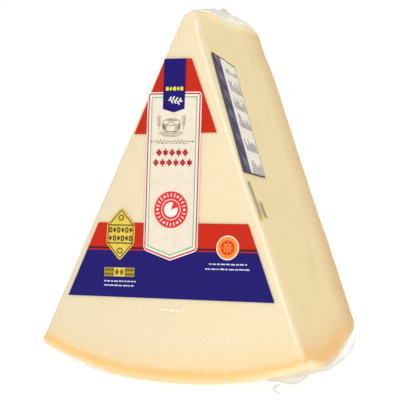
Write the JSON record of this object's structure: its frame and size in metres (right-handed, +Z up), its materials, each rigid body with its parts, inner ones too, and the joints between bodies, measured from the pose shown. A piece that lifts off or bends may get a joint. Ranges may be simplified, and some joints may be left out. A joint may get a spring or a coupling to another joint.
{
  "type": "wrapped wedge of hard cheese",
  "caption": "Tall wedge of hard grana cheese in clear film with a printed front, standing on its curved rind heel and leaning back on the folded end of its bag.",
  "frame": {"origin": "middle of the flat spot that the rind heel stands on", "axes": "+Z up, -Y out of the printed front cut, +X to the right as seen from the front"},
  "size_m": [0.161, 0.1273, 0.2082],
  "materials": {
    "cheese": "pale straw paste under clear glossy film, amber at the rind",
    "clear_film": "clear, glossy and creased",
    "printed_film": "opaque ink on glossy film, in fields of red, dark blue and off-white",
    "printed_label": "pale grey print with a muted violet strip"
  },
  "bodies": {
    "root": {"wrapped_wedge": "cheese", "film_crest": "clear_film", "film_gather": "clear_film", "front_print": "printed_film", "side_label": "printed_label"}
  },
  "joints": []
}
